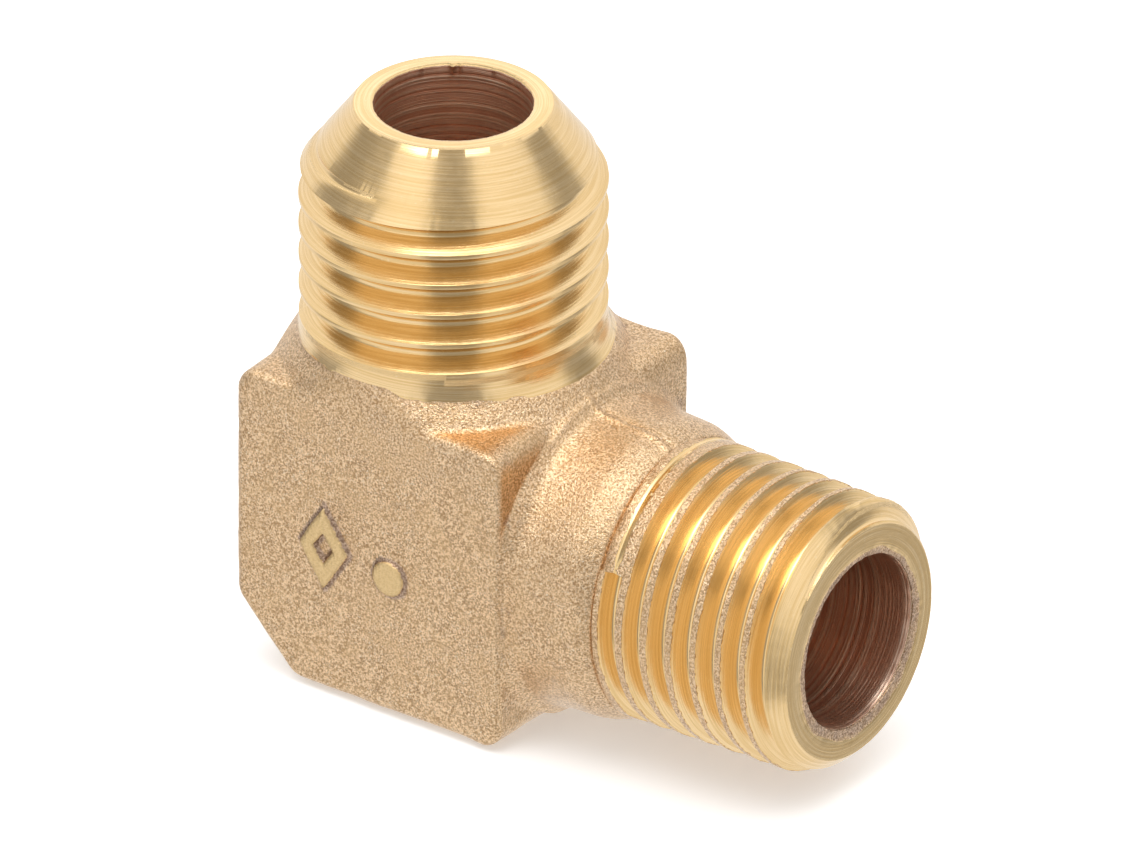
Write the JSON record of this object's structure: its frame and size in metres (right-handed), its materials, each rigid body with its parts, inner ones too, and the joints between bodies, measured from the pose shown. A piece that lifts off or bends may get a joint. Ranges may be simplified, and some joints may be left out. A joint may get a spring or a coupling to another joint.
{
  "type": "flare fitting",
  "caption": "Forged brass ninety-degree elbow with a male flare end pointing up and a male taper pipe-thread end pointing forward, joined by crossing bores.",
  "frame": {"origin": "the point where the flare bore's centreline and the pipe bore's centreline cross, in the middle of the forged block", "axes": "+Z along the flare end, out of its nose; +X along the pipe-thread end, out of its end face; Y across the two wrench flats"},
  "size_m": [0.0295, 0.0146, 0.0276],
  "materials": {
    "brass": "matte as-forged skin on the block and neck, bright turned metal on both ends"
  },
  "bodies": {
    "root": {"elbow_body": "brass"}
  },
  "joints": []
}
